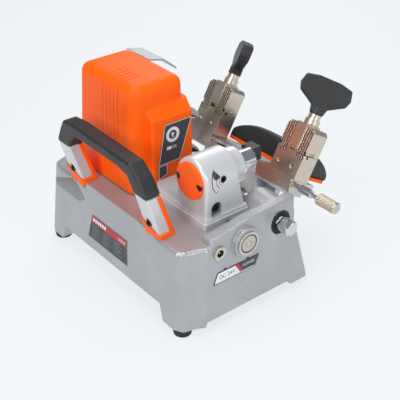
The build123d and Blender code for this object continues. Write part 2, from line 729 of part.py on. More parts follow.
pieces = {
    "base_housing": base_housing,
    "bottom_plate": bottom_plate,
    "base_screws": lambda: plate_screws() + foot_screws(),
    "rubber_feet": lambda: [foot(x, y) for x, y in foot_places],
    "shaft_bushes": lambda: [shaft_bush(near_hump[0] + 4, near_hump[1]),
                             shaft_bush(far_hump[0], far_hump[1] - 4)],
    "shaft_seals": lambda: [shaft_seal(near_hump[0] - 1, near_hump[0] + 4, seal_radius),
                            shaft_seal(near_hump[1], near_hump[1] + 1, 20),
                            shaft_seal(far_hump[0] - 1, far_hump[0], 20)],
    "label_plates": lambda: [side_label(), power_label(), scale_plate()],
    "button_ring": button_ring,
    "button_cap": button_cap,
    "button_switch": switch_body,
    "dc_inlet": dc_inlet,
    "battery_cells": battery_cells,
    "battery_tray": battery_tray,
    "control_board": control_board,
    "head_plinth": head_plinth,
    "head_housing": head_housing,
    "head_cap": head_cap,
    "socket_screws": lambda: cap_screws() + [head_bolt()] + [bracket_screw(x) for x in bracket_x],
    "adjuster": adjuster,
    "tracer_bush": tracer_bush,
    "tracer_collar": tracer_collar,
    "tracer_shaft": tracer_shaft,
    "tracer_block": tracer_block,
    "tracer_guide": tracer_guide,
    "tracer_set_screw": tracer_set_screw,
    "motor_cover": motor_cover,
    "nameplate": nameplate,
    "chip_guard": chip_guard,
    "spindle_housing": spindle_housing,
    "spindle_bearings": lambda: [bearing(*span) for span in ((housing_x[0], housing_x[0] + 11),
                                                             (housing_x[1] - 11, housing_x[1]))],
    "spindle": spindle,
    "cutter_wheel": cutter_wheel,
    "cutter_nut": cutter_nut,
    "spindle_pulley": lambda: pulley(spindle_y, spindle_z, spindle_radius),
    "drive_belt": drive_belt,
    "motor": motor,
    "motor_rotor": motor_shaft,
    "motor_pulley": lambda: pulley(motor_y, motor_z, 2.5),
    "motor_bracket": motor_bracket,
    "handle_grip": handle_grip,
    "handle_brackets": lambda: [bracket(x) for x in bracket_x],
    "handle_trims": lambda: [bracket_trim(x) for x in bracket_x],
    "carriage_shaft": carriage_shaft,
    "carriage_casting": lambda: leaned(carriage_casting()),
    "hub_bushes": lambda: [leaned(hub_bush(hub[0], hub[0] + 16)), leaned(hub_bush(hub[1] - 16, hub[1]))],
    "feed_bracket": lambda: leaned(feed_bracket()),
    "feed_trim": lambda: leaned(feed_trim()),
    "feed_pad": lambda: leaned(feed_pad()),
    "knurled_knob": lambda: leaned(knurled_knob(), vise_x[0]),
}

# The slabs, lower jaws and studs of both vises ride on the carriage, so each pair is one node
for name, make in {"vise_slabs": vise_slab, "lower_jaws": lower_jaw, "vise_studs": vise_stud}.items():
    pieces[name] = lambda make=make: [leaned(make(), x) for x in vise_x]

wing_turn = {"left": 47, "right": -40}
for side, x in zip(("left", "right"), vise_x):
    for name, make in {"upper_jaw": upper_jaw, "clamp_nut": clamp_nut, "stop_rod": stop_rod}.items():
        pieces[side + "_" + name] = lambda make=make, x=x: leaned(make(), x)
    pieces[side + "_wing_knob"] = lambda side=side, x=x: leaned(wing_knob(wing_turn[side]), x)

for name, make in pieces.items():
    save(make(), name)
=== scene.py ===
import json
import math
import bpy
import bmesh
from mathutils import Matrix, Vector


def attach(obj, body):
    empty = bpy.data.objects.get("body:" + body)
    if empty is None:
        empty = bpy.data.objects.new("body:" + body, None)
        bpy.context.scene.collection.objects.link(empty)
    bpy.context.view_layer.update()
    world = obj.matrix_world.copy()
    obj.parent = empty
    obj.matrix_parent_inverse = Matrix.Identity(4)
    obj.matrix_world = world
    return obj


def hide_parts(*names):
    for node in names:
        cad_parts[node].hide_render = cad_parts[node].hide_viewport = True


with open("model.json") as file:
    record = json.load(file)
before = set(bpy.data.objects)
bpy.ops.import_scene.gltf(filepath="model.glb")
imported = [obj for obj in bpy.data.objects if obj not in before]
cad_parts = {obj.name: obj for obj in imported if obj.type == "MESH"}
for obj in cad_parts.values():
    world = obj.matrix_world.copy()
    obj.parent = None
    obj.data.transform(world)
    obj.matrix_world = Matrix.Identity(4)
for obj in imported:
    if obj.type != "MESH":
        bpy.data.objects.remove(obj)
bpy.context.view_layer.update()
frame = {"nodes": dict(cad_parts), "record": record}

nodes = frame["nodes"]
mm = 0.001
shaftY, shaftZ = -44.0, 95.0                   # mm, the line that the carriage rocks about
viseLean = math.radians(30.0)
feetMiddle = Vector((19.5, 33.25, 0.0))        # mm; sizes below are from the point midway between the feet
print("frame loaded:", len(nodes), "nodes")

# camera, light and floor

view = {
    "place": (-0.687, 0.511, 0.610),   # metres, off the back left corner
    "heading": (0.779, -0.627),
    "pitch": 32.0,                     # degrees down
    "lens": 80.1,
}
cameraData = bpy.data.cameras.new("studioCamera")
cameraData.lens = view["lens"]
cameraData.clip_start = 0.05
camera = bpy.data.objects.new("studioCamera", cameraData)
bpy.context.scene.collection.objects.link(camera)
down = math.radians(view["pitch"])
aim = Vector((view["heading"][0] * math.cos(down), view["heading"][1] * math.cos(down), -math.sin(down)))
camera.location = Vector(view["place"]) + feetMiddle * mm
camera.rotation_euler = aim.to_track_quat("-Z", "Y").to_euler()
bpy.context.scene.camera = camera
bpy.context.scene.view_settings.view_transform = "Standard"


def hexColour(code):
    parts = [int(code[i:i + 2], 16) / 255 for i in (1, 3, 5)]
    return tuple(c / 12.92 if c <= 0.04045 else ((c + 0.055) / 1.055) ** 2.4 for c in parts) + (1.0,)


def areaLight(name, place, target, size, power, colour="#FFFFFF"):
    data = bpy.data.lights.new(name, "AREA")
    data.size = size
    data.energy = power
    data.color = hexColour(colour)[:3]
    light = bpy.data.objects.new(name, data)
    light.location = place
    light.rotation_euler = (Vector(target) - Vector(place)).to_track_quat("-Z", "Y").to_euler()
    bpy.context.scene.collection.objects.link(light)


lamps = {
    "overheadBox": ((0.0, 0.1, 1.3), (0, 0, 0.1), 0.9, 9.5),
    "backLeftBox": ((-0.4, 1.3, 0.8), (0, 0, 0.12), 0.6, 9.0),
    "endBox": ((-1.4, 0.0, 0.6), (0, 0, 0.12), 0.6, 6.5),
    "rimBox": ((0.9, -1.0, 0.9), (0, 0, 0.12), 0.8, 5),
}
for name, (place, target, size, power) in lamps.items():
    areaLight(name, place, target, size, power)

world = bpy.data.worlds.new("paleStudio")
world.use_nodes = True
world.node_tree.nodes["Background"].inputs["Color"].default_value = hexColour("#F1F5F8")
world.node_tree.nodes["Background"].inputs["Strength"].default_value = 0.32
bpy.context.scene.world = world

# materials


def addNode(tree, kind, settings=None, links=None):
    node = tree.nodes.new(kind)
    for key, value in (settings or {}).items():
        if isinstance(key, int) or key in node.inputs:
            node.inputs[key].default_value = value
        else:
            setattr(node, key, value)
    for key, socket in (links or {}).items():
        tree.links.new(socket, node.inputs[key])
    return node


def newMaterial(name, settings):
    material = bpy.data.materials.new(name)
    material.use_nodes = True
    shader = material.node_tree.nodes["Principled BSDF"]
    for key, value in settings.items():
        shader.inputs[key].default_value = value
    return material, shader


def surface(name, colour, darker, settings, grain, bump, patch=0.03, edge=None, edgeWidth=0.6 * mm,
            roughSpread=0.08, kind="noise", stretch=(1, 1, 1)):
    # one finish: two colours mixed in soft patches, a grain in relief, and worn edges
    material, shader = newMaterial(name, settings)
    tree = material.node_tree
    links = tree.links
    place = addNode(tree, "ShaderNodeTexCoord").outputs["Object"]
    turned = addNode(tree, "ShaderNodeMapping", {"Scale": stretch}, {"Vector": place}).outputs[0]
    patches = addNode(tree, "ShaderNodeTexNoise", {"Scale": 1 / patch, "Detail": 3.0}, {"Vector": place})
    if kind == "cells":
        relief = addNode(tree, "ShaderNodeTexVoronoi", {"Scale": 1 / grain, "feature": "SMOOTH_F1"},
                         {"Vector": turned}).outputs["Distance"]
    else:
        relief = addNode(tree, "ShaderNodeTexNoise", {"Scale": 1 / grain, "Detail": 2.0},
                         {"Vector": turned}).outputs["Fac"]
    blend = addNode(tree, "ShaderNodeMix", {"data_type": "RGBA", 6: hexColour(colour), 7: hexColour(darker)},
                    {0: addNode(tree, "ShaderNodeMath", {"operation": "MULTIPLY_ADD", 1: 0.6, 2: -0.05},
                                {0: patches.outputs["Fac"]}).outputs[0]}).outputs[2]
    speckle = addNode(tree, "ShaderNodeMix", {"data_type": "RGBA", 7: hexColour(darker)},
                      {0: addNode(tree, "ShaderNodeMath", {"operation": "MULTIPLY", 1: 0.35},
                                  {0: relief}).outputs[0], 6: blend}).outputs[2]
    tone = speckle
    soft = addNode(tree, "ShaderNodeBevel", {"Radius": edgeWidth, "samples": 4})
    if edge:
        flat = addNode(tree, "ShaderNodeNewGeometry").outputs["Normal"]
        along = addNode(tree, "ShaderNodeVectorMath", {"operation": "DOT_PRODUCT"},
                        {0: flat, 1: soft.outputs[0]}).outputs["Value"]
        worn = addNode(tree, "ShaderNodeMapRange", {"From Min": 0.985, "From Max": 0.86, "To Max": 0.75},
                       {"Value": along}).outputs[0]
        tone = addNode(tree, "ShaderNodeMix", {"data_type": "RGBA", 7: hexColour(edge)},
                       {0: worn, 6: speckle}).outputs[2]
    links.new(tone, shader.inputs["Base Color"])
    rough = shader.inputs["Roughness"].default_value
    shine = addNode(tree, "ShaderNodeMapRange", {"To Min": rough - roughSpread, "To Max": rough + roughSpread},
                    {"Value": patches.outputs["Fac"]}).outputs[0]
    links.new(shine, shader.inputs["Roughness"])
    height = addNode(tree, "ShaderNodeBump", {"Strength": 1.0, "Distance": bump},
                     {"Height": relief, "Normal": soft.outputs[0]})
    links.new(height.outputs[0], shader.inputs["Normal"])
    return material


finishes = {
    # silver-grey hammertone paint on a die casting: soft cells under two millimetres across
    "hammertone": surface("hammertonePaint", "#B9BABD", "#8C8D92", {"Roughness": 0.32, "Metallic": 0.45},
                          1.7 * mm, 0.42 * mm, patch=0.05, edge="#D4D6D9", edgeWidth=1.8 * mm, kind="cells"),
    # smooth silver paint on a finer casting
    "cast_silver": surface("silverPaint", "#D6D8DB", "#C2C4C8", {"Roughness": 0.34, "Metallic": 0.35},
                           0.5 * mm, 0.02 * mm, patch=0.03, edge="#ECEDEF", edgeWidth=1.0 * mm),
    # moulded ABS: satin, with a faint spark-eroded grain
    "orange_plastic": surface("orangeAbs", "#FF6400", "#FF5800", {"Roughness": 0.42, "Specular IOR Level": 0.2},
                              0.45 * mm, 0.012 * mm, patch=0.06, edge="#FF9A52", edgeWidth=0.8 * mm),
    # glass-filled nylon: dull black with a fine grain
    "black_plastic": surface("blackNylon", "#26272A", "#1B1C1E", {"Roughness": 0.46}, 0.5 * mm, 0.03 * mm,
                             patch=0.02, edge="#4A4B4F", edgeWidth=0.8 * mm),
    # satin nickel plate over ground steel, with fine grinding lines
    "nickel": surface("nickelPlate", "#DDD2C2", "#BEB2A1", {"Roughness": 0.34, "Metallic": 1.0}, 0.35 * mm,
                      0.015 * mm, patch=0.012, edge="#E8DECC", edgeWidth=0.5 * mm, stretch=(1, 0.12, 0.12)),
    "chrome": surface("hardChrome", "#DADCE0", "#C8CACE", {"Roughness": 0.12, "Metallic": 1.0}, 0.4 * mm,
                      0.002 * mm, roughSpread=0.04, stretch=(0.1, 1, 1)),
    "stainless": surface("turnedStainless", "#D5CFC4", "#BDB6AA", {"Roughness": 0.3, "Metallic": 1.0}, 0.3 * mm,
                         0.006 * mm, patch=0.01, edge="#EFEAE0", edgeWidth=0.3 * mm),
    "black_steel": surface("blackOxide", "#3A3A3C", "#252527", {"Roughness": 0.4, "Metallic": 0.8}, 0.4 * mm,
                           0.01 * mm, patch=0.008, edge="#77787C", edgeWidth=0.3 * mm),
    "tool_steel": surface("groundSteel", "#A9ABAF", "#8C8E92", {"Roughness": 0.3, "Metallic": 1.0}, 0.3 * mm,
                          0.01 * mm, patch=0.01, edge="#CFD1D4", edgeWidth=0.3 * mm, stretch=(1, 0.2, 0.2)),
    "aluminium_pulley": surface("turnedAluminium", "#C6C8CC", "#AAACB0", {"Roughness": 0.32, "Metallic": 1.0},
                                0.3 * mm, 0.006 * mm, patch=0.01, edge="#E2E3E6", edgeWidth=0.3 * mm),
    "bronze": surface("sinteredBronze", "#B38B55", "#94703E", {"Roughness": 0.45, "Metallic": 0.9}, 0.4 * mm,
                      0.02 * mm, patch=0.008, edge="#D0A970", edgeWidth=0.3 * mm),
    "zinc_steel": surface("zincPlate", "#C2C5C9", "#A9ACB2", {"Roughness": 0.35, "Metallic": 0.9}, 4 * mm,
                          0.004 * mm, patch=0.012, edge="#DFE1E4", edgeWidth=0.4 * mm, kind="cells"),
    "rubber": surface("blackRubber", "#1C1C1D", "#121213", {"Roughness": 0.68}, 0.6 * mm, 0.04 * mm,
                      patch=0.01, edge="#2E2E30", edgeWidth=0.6 * mm),
    "printed_film": surface("darkFilm", "#3C4049", "#33363E", {"Roughness": 0.42}, 0.5 * mm, 0.008 * mm,
                            patch=0.02),
    "battery_wrap": surface("shrinkWrap", "#1F4E9B", "#183D7C", {"Roughness": 0.3}, 0.8 * mm, 0.01 * mm),
    "circuit_board": surface("solderMask", "#0E5A33", "#0A4628", {"Roughness": 0.35}, 0.8 * mm, 0.01 * mm),
}
inkWhite = surface("whiteInk", "#E9EAEC", "#D9DADD", {"Roughness": 0.45}, 0.4 * mm, 0.004 * mm)
inkRed = surface("redInk", "#C8262B", "#B21F24", {"Roughness": 0.45}, 0.4 * mm, 0.004 * mm)
inkGrey = surface("greyInk", "#8A8D92", "#7B7E83", {"Roughness": 0.45}, 0.4 * mm, 0.004 * mm)
inkBlack = surface("blackInk", "#202124", "#18191B", {"Roughness": 0.45}, 0.4 * mm, 0.004 * mm)

slotOf = {part["node"]: part["material_slot"] for part in frame["record"]["subparts"]}
for name, node in nodes.items():
    node.data.materials.clear()
    node.data.materials.append(finishes[slotOf[name]])
print("materials made:", len(finishes))

# making pieces


def pieceFrom(name, mesh, body, material, replaced=()):
    mesh.materials.clear()
    mesh.materials.append(material)
    piece = bpy.data.objects.new(name, mesh)
    bpy.context.scene.collection.objects.link(piece)
    if replaced:
        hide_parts(*replaced)
    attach(piece, body)
    return piece


def labelPlane(origin, across, normal):
    # x runs across the label, y up it and z out of it; the origin is in mm
    out = Vector(normal).normalized()
    side = Vector(across).normalized()
    turn = Matrix((side, out.cross(side), out)).transposed().to_4x4()
    return Matrix.Translation((Vector(origin) + feetMiddle) * mm) @ turn @ Matrix.Scale(mm, 4)


def printedMesh(name, outlines, place, low, high):
    # closed thin plates, one for each outline of (x, y) points in mm; place turns (x, y, z) into metres
    shape = bmesh.new()
    for outline in outlines:
        under = [shape.verts.new(place(Vector((x, y, low)))) for x, y in outline]
        over = [shape.verts.new(place(Vector((x, y, high)))) for x, y in outline]
        sides = list(range(len(outline)))
        faces = [shape.faces.new(under), shape.faces.new(over)]
        for i in sides:
            j = (i + 1) % len(outline)
            faces.append(shape.faces.new((under[i], under[j], over[j], over[i])))
        bmesh.ops.recalc_face_normals(shape, faces=faces)
    mesh = bpy.data.meshes.new(name)
    shape.to_mesh(mesh)
    shape.free()
    return mesh


def bar(x0, y0, x1, y1, lean=0.0):
    return [(x0, y0), (x1, y0), (x1 + lean, y1), (x0 + lean, y1)]


def ringParts(x, y, inner, outer, start=0.0, end=360.0, steps=36):
    # part of a flat ring as a run of small quads, angles in degrees
    turns = [math.radians(start + (end - start) * i / steps) for i in range(steps + 1)]
    parts = []
    for a, b in zip(turns, turns[1:]):
        parts.append([(x + inner * math.cos(a), y + inner * math.sin(a)),
                      (x + outer * math.cos(a), y + outer * math.sin(a)),
                      (x + outer * math.cos(b), y + outer * math.sin(b)),
                      (x + inner * math.cos(b), y + inner * math.sin(b))])
    return parts


def drawnIn(outline, width):
    # the same outline, each side moved in by width
    count = len(outline)
    area = sum(outline[i - 1][0] * outline[i][1] - outline[i][0] * outline[i - 1][1] for i in range(count))
    sign = 1 if area > 0 else -1
    inner = []
    for i in range(count):
        here = Vector(outline[i])
        before = (here - Vector(outline[i - 1])).normalized()
        after = (Vector(outline[(i + 1) % count]) - here).normalized()
        middle = (Vector((-before.y, before.x)) + Vector((-after.y, after.x))).normalized() * sign
        inner.append(tuple(here + middle * (width / max(middle.dot(Vector((-after.y, after.x)) * sign), 0.3))))
    return inner


def frameBands(outline, width):
    inner = drawnIn(outline, width)
    count = len(outline)
    return [[outline[i], outline[(i + 1) % count], inner[(i + 1) % count], inner[i]] for i in range(count)]


def lettering(text, height, x, y, lean=0.0):
    # generic words as a flat mesh in mm, lower left corner at (x, y)
    curve = bpy.data.curves.new("lettering", "FONT")
    curve.body = text
    curve.size = height / 0.7
    curve.shear = lean
    holder = bpy.data.objects.new("lettering", curve)
    bpy.context.scene.collection.objects.link(holder)
    bpy.context.view_layer.update()
    flat = bpy.data.meshes.new_from_object(holder.evaluated_get(bpy.context.evaluated_depsgraph_get()))
    bpy.data.objects.remove(holder)
    shape = bmesh.new()
    shape.from_mesh(flat)
    bmesh.ops.remove_doubles(shape, verts=shape.verts, dist=0.001)
    raised = bmesh.ops.extrude_face_region(shape, geom=shape.faces[:])["geom"]
    for vert in [v for v in raised if isinstance(v, bmesh.types.BMVert)]:
        vert.co.z += 0.05
    for vert in shape.verts:
        vert.co += Vector((x, y, 0))
    bmesh.ops.recalc_face_normals(shape, faces=shape.faces)
    shape.to_mesh(flat)
    shape.free()
    return flat


def growMesh(name, tree, sizes):
    # the plain mesh that a geometry tree gives for these sizes
    holder = bpy.data.objects.new(name, bpy.data.meshes.new(name))
    bpy.context.scene.collection.objects.link(holder)
    modifier = holder.modifiers.new(name, "NODES")
    modifier.node_group = tree
    sockets = {item.name: item.identifier for item in tree.interface.items_tree if item.in_out == "INPUT"}
    for key, value in sizes.items():
        modifier[sockets[key]] = value
    bpy.context.view_layer.update()
    mesh = bpy.data.meshes.new_from_object(holder.evaluated_get(bpy.context.evaluated_depsgraph_get()))
    mesh.name = name
    holder.modifiers.remove(modifier)
    bpy.data.objects.remove(holder)
    return mesh


def newTree(name, inputs):
    tree = bpy.data.node_groups.new(name, "GeometryNodeTree")
    tree.interface.new_socket("Geometry", in_out="OUTPUT", socket_type="NodeSocketGeometry")
    for key, kind in inputs.items():
        tree.interface.new_socket(key, in_out="INPUT", socket_type="NodeSocket" + kind)
    return tree, addNode(tree, "NodeGroupInput").outputs


def endTree(tree, geometry, material):
    real = addNode(tree, "GeometryNodeRealizeInstances", links={0: geometry}).outputs[0]
    dressed = addNode(tree, "GeometryNodeSetMaterial", {"Material": material}, {"Geometry": real}).outputs[0]
    addNode(tree, "NodeGroupOutput", links={0: dressed})


# knurled knob of the stop rod

knurlKnob = {
    "radius": 6.5 * mm,
    "length": 26.0 * mm,
    "chamfer": 0.9 * mm,
    "depth": 0.55 * mm,
    "diamonds": 22,        # round the knob
    "twist": 13.5,         # diamonds along it
    "start": (feetMiddle + Vector((-176.0, -80.137, 118.592))) * mm,
}
tree, given = newTree("knurlTree", {"radius": "Float", "length": "Float", "chamfer": "Float", "depth": "Float",
                                    "diamonds": "Float", "twist": "Float", "start": "Vector"})
around, rows = 132, 86
grid = addNode(tree, "GeometryNodeMeshGrid", {"Size X": 1.0, "Size Y": 1.0, "Vertices X": around + 1,
                                              "Vertices Y": rows}).outputs["Mesh"]
spot = addNode(tree, "ShaderNodeSeparateXYZ", links={0: addNode(tree, "GeometryNodeInputPosition").outputs[0]})
turn = addNode(tree, "ShaderNodeMath", {"operation": "ADD", 1: 0.5}, {0: spot.outputs["X"]}).outputs[0]
row = addNode(tree, "ShaderNodeMath", {"operation": "MULTIPLY_ADD", 1: rows - 1.0, 2: (rows - 1) / 2},
              {0: spot.outputs["Y"]}).outputs[0]
along = addNode(tree, "ShaderNodeMapRange", {"From Min": 2.0, "From Max": rows - 3.0},
                {"Value": row}).outputs[0]
ridges = []
for way in (1.0, -1.0):
    leanAlong = addNode(tree, "ShaderNodeMath", {"operation": "MULTIPLY"},
                        {0: along, 1: given["twist"]}).outputs[0]
    leanAlong = addNode(tree, "ShaderNodeMath", {"operation": "MULTIPLY", 1: way}, {0: leanAlong}).outputs[0]
    helix = addNode(tree, "ShaderNodeMath", {"operation": "MULTIPLY_ADD"},
                    {0: turn, 1: given["diamonds"], 2: leanAlong}).outputs[0]
    ridges.append(addNode(tree, "ShaderNodeMath", {"operation": "PINGPONG", 1: 0.5}, {0: helix}).outputs[0])
peak = addNode(tree, "ShaderNodeMath", {"operation": "MINIMUM"}, {0: ridges[0], 1: ridges[1]}).outputs[0]
cut = addNode(tree, "ShaderNodeMapRange", {"From Min": 0.0, "From Max": 0.32, "To Min": 1.0, "To Max": 0.0},
              {"Value": peak}).outputs[0]
cut = addNode(tree, "ShaderNodeMath", {"operation": "MULTIPLY"}, {0: cut, 1: given["depth"]}).outputs[0]
fromEnd = addNode(tree, "ShaderNodeMath", {"operation": "SUBTRACT", 0: rows - 1.0}, {1: row}).outputs[0]
edgeRow = addNode(tree, "ShaderNodeMath", {"operation": "MINIMUM"}, {0: row, 1: fromEnd}).outputs[0]
band = addNode(tree, "ShaderNodeMapRange", {"From Min": 3.0, "From Max": 5.0}, {"Value": edgeRow}).outputs[0]
cut = addNode(tree, "ShaderNodeMath", {"operation": "MULTIPLY"}, {0: cut, 1: band}).outputs[0]
full = addNode(tree, "ShaderNodeMath", {"operation": "SUBTRACT"}, {0: given["radius"], 1: cut}).outputs[0]
faceIn = addNode(tree, "ShaderNodeMapRange", {"From Min": 0.0, "From Max": 1.0, "To Max": 0.86},
                 {"Value": edgeRow}).outputs[0]
rimOut = addNode(tree, "ShaderNodeMapRange", {"From Min": 1.0, "From Max": 2.0, "To Max": 0.14},
                 {"Value": edgeRow}).outputs[0]
share = addNode(tree, "ShaderNodeMath", {"operation": "ADD"}, {0: faceIn, 1: rimOut}).outputs[0]
reach = addNode(tree, "ShaderNodeMath", {"operation": "MULTIPLY"}, {0: full, 1: share}).outputs[0]
angle = addNode(tree, "ShaderNodeMath", {"operation": "MULTIPLY", 1: math.tau}, {0: turn}).outputs[0]
sideways = []
for kind in ("COSINE", "SINE"):
    part = addNode(tree, "ShaderNodeMath", {"operation": kind}, {0: angle}).outputs[0]
    sideways.append(addNode(tree, "ShaderNodeMath", {"operation": "MULTIPLY"}, {0: reach, 1: part}).outputs[0])
steps = []
for first, last, size in ((1.0, 2.0, "chamfer"), (rows - 3.0, rows - 2.0, "chamfer")):
    steps.append(addNode(tree, "ShaderNodeMapRange", {"From Min": first, "From Max": last},
                         {"Value": row, "To Max": given[size]}).outputs[0])
middle = addNode(tree, "ShaderNodeMath", {"operation": "MULTIPLY_ADD", 1: -2.0},
                 {0: given["chamfer"], 2: given["length"]}).outputs[0]
steps.append(addNode(tree, "ShaderNodeMath", {"operation": "MULTIPLY"}, {0: along, 1: middle}).outputs[0])
ahead = addNode(tree, "ShaderNodeMath", {"operation": "ADD"}, {0: steps[0], 1: steps[1]}).outputs[0]
ahead = addNode(tree, "ShaderNodeMath", {"operation": "ADD"}, {0: ahead, 1: steps[2]}).outputs[0]
local = addNode(tree, "ShaderNodeCombineXYZ", links={0: ahead, 1: sideways[0], 2: sideways[1]}).outputs[0]
atStart = addNode(tree, "ShaderNodeVectorMath", {"operation": "ADD"}, {0: local, 1: given["start"]}).outputs[0]
moved = addNode(tree, "GeometryNodeSetPosition", links={"Geometry": grid, "Position": atStart}).outputs[0]
closed = addNode(tree, "GeometryNodeMergeByDistance", {"Distance": 0.01 * mm}, {"Geometry": moved}).outputs[0]
endTree(tree, closed, finishes["stainless"])
knobMesh = growMesh("knurledStopKnob", tree, knurlKnob)
shape = bmesh.new()
shape.from_mesh(knobMesh)
bmesh.ops.recalc_face_normals(shape, faces=shape.faces)
shape.to_mesh(knobMesh)
shape.free()
pieceFrom("knurledStopKnob", knobMesh, "left_screw", finishes[slotOf["knurled_knob"]],
          ["knurled_knob"])
print("knurled knob made")

# printed plates

raised = (0.48, 0.56)        # mm above the back of a plate that is 0.5 thick


def printOn(name, outlines, plane, colour, heights=raised, body="base"):
    mesh = printedMesh(name, outlines, lambda spot: plane @ spot, *heights)
    return pieceFrom(name, mesh, body, colour)


sideLabel = {"outline": [(-36, 31), (30, 31), (34, 2), (-42, 2)], "rows": 6, "rowStep": 2.7}
sidePlane = labelPlane((0, 86.32, 40), (-1, 0, 0), (0, 42.5, 5.3))
printOn("sideLabelEdge", frameBands(sideLabel["outline"], 0.6), sidePlane, inkGrey)
printOn("sideLabelStrip", [[(-35.2, 30.2), (29.4, 30.2), (30.6, 22.6), (-36.6, 22.6)]], sidePlane, inkRed)
marks = [bar(x, 24.4, x + 3.4, 28.6, 0.6) for x in (-34, -29.6, -25.2, -20.8, -16.4, -12.0)]
marks += [bar(15, 25.0, 28.6, 25.7), bar(15, 27.2, 28.6, 27.9)]
printOn("sideLabelMarks", marks, sidePlane, inkWhite, (0.54, 0.62))
lines = []
for i in range(sideLabel["rows"]):
    y = 19.5 - sideLabel["rowStep"] * i
    for x, length in ((-34 - 0.5 * i, 11 + 3 * (i % 3)), (-14, 9 + 4 * ((i + 1) % 3)), (8, 12 + 3 * (i % 2))):
        lines.append(bar(x, y, x + length, y + 0.7))
printOn("sideLabelLines", lines, sidePlane, inkGrey)

powerPlane = labelPlane((-134.1, 18, 64), (0, -1, 0), (-94, 0, 5))
powerOutline = [(-31, -7), (-25, 6), (31, 6), (25, -7)]
printOn("powerLabelWhite", [[(-29.6, -6.1), (-24.5, 5.1), (-1.6, 5.1), (4.6, -5.1), (24.5, -5.1), (24.0, -6.1)]],
        powerPlane, inkWhite)
printOn("powerLabelRed", [[(-1.4, 5.1), (2.4, 5.1), (8.0, -4.2), (4.4, -4.2)]], powerPlane, inkRed)
printOn("powerLabelPointers", [[(-17.5, 6), (-12.5, 6), (-15, 8.4)], [(13.5, 6), (18.5, 6), (16, 8.4)]],
        powerPlane, inkBlack, (0.0, 0.5))
for name, words, height, x, y, colour in (("inletWords", "DC 24V", 4.4, -23.5, -2.6, inkBlack),
                                          ("powerWords", "POWER", 3.2, 8.2, -0.6, inkWhite)):
    mesh = lettering(words, height, x, y, 0.15)
    mesh.transform(powerPlane @ Matrix.Translation((0, 0, 0.54)))
    pieceFrom(name, mesh, "base", colour)

platePlane = labelPlane((-14.02, 0, 104), (0, -1, 0), (-84, 0, 0.5))
plateUpper = [(-17, 77), (19, 77), (2, 31), (-26, 31)]
plateLower = [(-15, 30), (-26, 30), (-27, 14), (-15, 18)]
overPlate = (0.58, 0.66)
printOn("nameplateBorder", frameBands(plateUpper, 0.7) + frameBands(plateLower, 0.7), platePlane, inkWhite,
        overPlate)
emblem = {"x": -6.7, "y": 63.4, "outer": 8.8, "inner": 5.2}
printOn("nameplateRing", ringParts(emblem["x"], emblem["y"], emblem["inner"], emblem["outer"], steps=48),
        platePlane, inkWhite, overPlate)
printOn("nameplateKeyhole", [bar(emblem["x"] - 0.9, emblem["y"] - 3.4, emblem["x"] + 0.9, emblem["y"])]
        + ringParts(emblem["x"], emblem["y"] + 0.6, 0.0001, 2.0, steps=24), platePlane, inkWhite, overPlate)
printOn("nameplateBar", [bar(-15.0, 46.6, -8.6, 50.4), bar(-7.4, 47.2, -1.4, 47.9), bar(-7.4, 49.2, -2.4, 49.9)],
        platePlane, inkWhite, overPlate)
print("printed plates made")

# power symbol and button gasket

buttonPlane = labelPlane((-138.0, 5, 92), (0, -1, 0), (-1, 0, 0))
symbol = ringParts(0, 0, 3.2, 4.1, 120, 420, 30) + [bar(-0.45, 1.4, 0.45, 5.0)]
symbol += ringParts(0, 0, 6.6, 6.95, steps=48)
printOn("powerSymbol", symbol, buttonPlane, inkGrey, (-0.02, 0.05), "power_button")
ringPlane = labelPlane((-138.2, 5, 92), (0, -1, 0), (-1, 0, 0))
printOn("buttonGasket", ringParts(0, 0, 9.45, 10.7, steps=60), ringPlane, inkBlack, (-0.02, 0.05))

# depth scale round the adjuster, following the side of the head

depthScale = {"y": 8.0, "z": 151.6, "headX": -76.0, "headZ": 148.0, "headRadius": 24.9, "ticks": 13,
              "span": (-46.0, 46.0)}


def onHeadSide(spot):
    # (y, z) about the adjuster and a height off the printed plate, carried to the curved side of the head
    y = depthScale["y"] + spot.x
    z = depthScale["z"] + spot.y
    above = max(z - depthScale["headZ"], 0.0)
    reachOut = depthScale["headRadius"] + spot.z
    side = depthScale["headX"] - math.sqrt(reachOut * reachOut - above * above)
    return (feetMiddle + Vector((side, y, z))) * mm


def radialTicks(inner, outer, width, count, start, end):
    ticks = []
    for i in range(count):
        a = math.radians(start + (end - start) * i / (count - 1))
        along = Vector((math.cos(a), math.sin(a)))
        aside = Vector((-along.y, along.x)) * width / 2
        ticks.append([tuple(along * inner - aside), tuple(along * outer - aside),
                      tuple(along * outer + aside), tuple(along * inner + aside)])
    return ticks


for name, outlines, colour, height in (
        ("scaleFace", ringParts(0, 0, 6.1, 15.4, -50, 50), inkWhite, -0.02),
        ("scaleEdge", ringParts(0, 0, 14.7, 15.4, -50, 50) + ringParts(0, 0, 6.1, 6.7, -50, 50), inkBlack, 0.04),
        ("scaleArc", ringParts(0, 0, 8.7, 9.3, *depthScale["span"]), inkBlack, 0.04),
        ("scaleTicks", radialTicks(9.3, 11.0, 0.5, depthScale["ticks"], *depthScale["span"]), inkBlack, 0.04),
        ("scaleRedTicks", radialTicks(12.0, 13.8, 0.5, depthScale["ticks"], *depthScale["span"]), inkRed, 0.04)):
    mesh = printedMesh(name, outlines, onHeadSide, height, height + 0.06)
    pieceFrom(name, mesh, "base", colour)
print("scale made")
